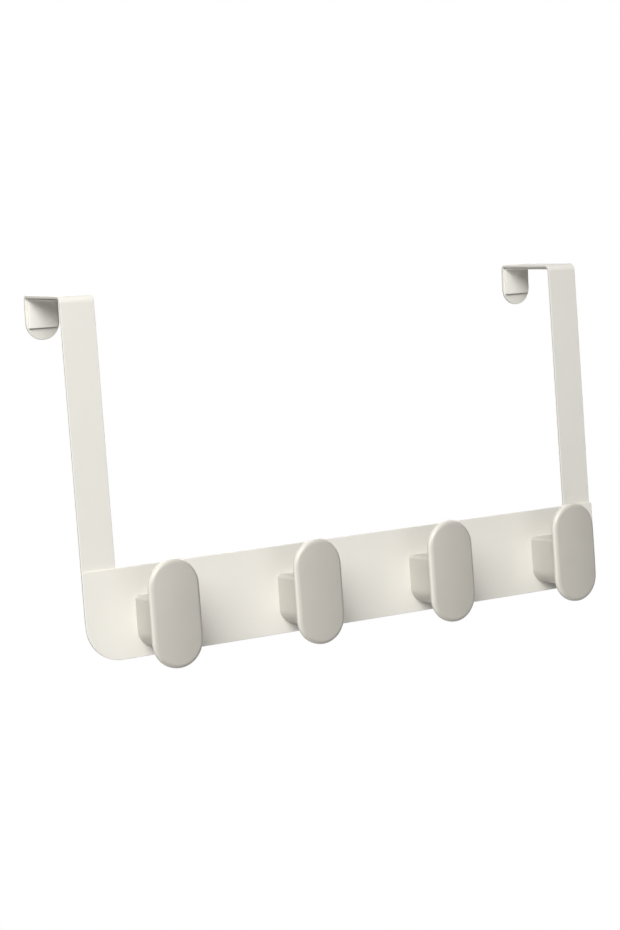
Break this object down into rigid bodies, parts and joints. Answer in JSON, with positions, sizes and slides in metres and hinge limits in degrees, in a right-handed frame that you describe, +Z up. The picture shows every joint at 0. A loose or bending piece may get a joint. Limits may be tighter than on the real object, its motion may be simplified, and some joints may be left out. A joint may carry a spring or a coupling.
{
  "type": "over-the-door coat hook rail",
  "caption": "Coat hook rail that hangs over a door: flat steel plate with oval-faced knobs on short stems, carried by bent straps with foam-lined hooks.",
  "frame": {"origin": "midway between the straps, where the front of the door leaf meets its top edge: the plane of the strap backs and the sharp corner under the over-door plates", "axes": "+X along the rail to the viewer's right, +Y from the room towards and over the door, +Z up"},
  "size_m": [0.345, 0.0851, 0.2042],
  "materials": {
    "coated_steel": "warm off-white powder coat, low gloss",
    "foam_pad": "matte closed-cell foam",
    "knob_moulding": "warm greige moulding, fine satin texture",
    "zinc_plate": "bright zinc plate"
  },
  "bodies": {
    "root": {"rail_plate": "coated_steel", "left_strap": "coated_steel", "right_strap": "coated_steel", "left_hook_pad": "foam_pad", "right_hook_pad": "foam_pad", "knob_1": "knob_moulding", "knob_2": "knob_moulding", "knob_3": "knob_moulding", "knob_4": "knob_moulding", "knob_screws": "zinc_plate"}
  },
  "joints": []
}
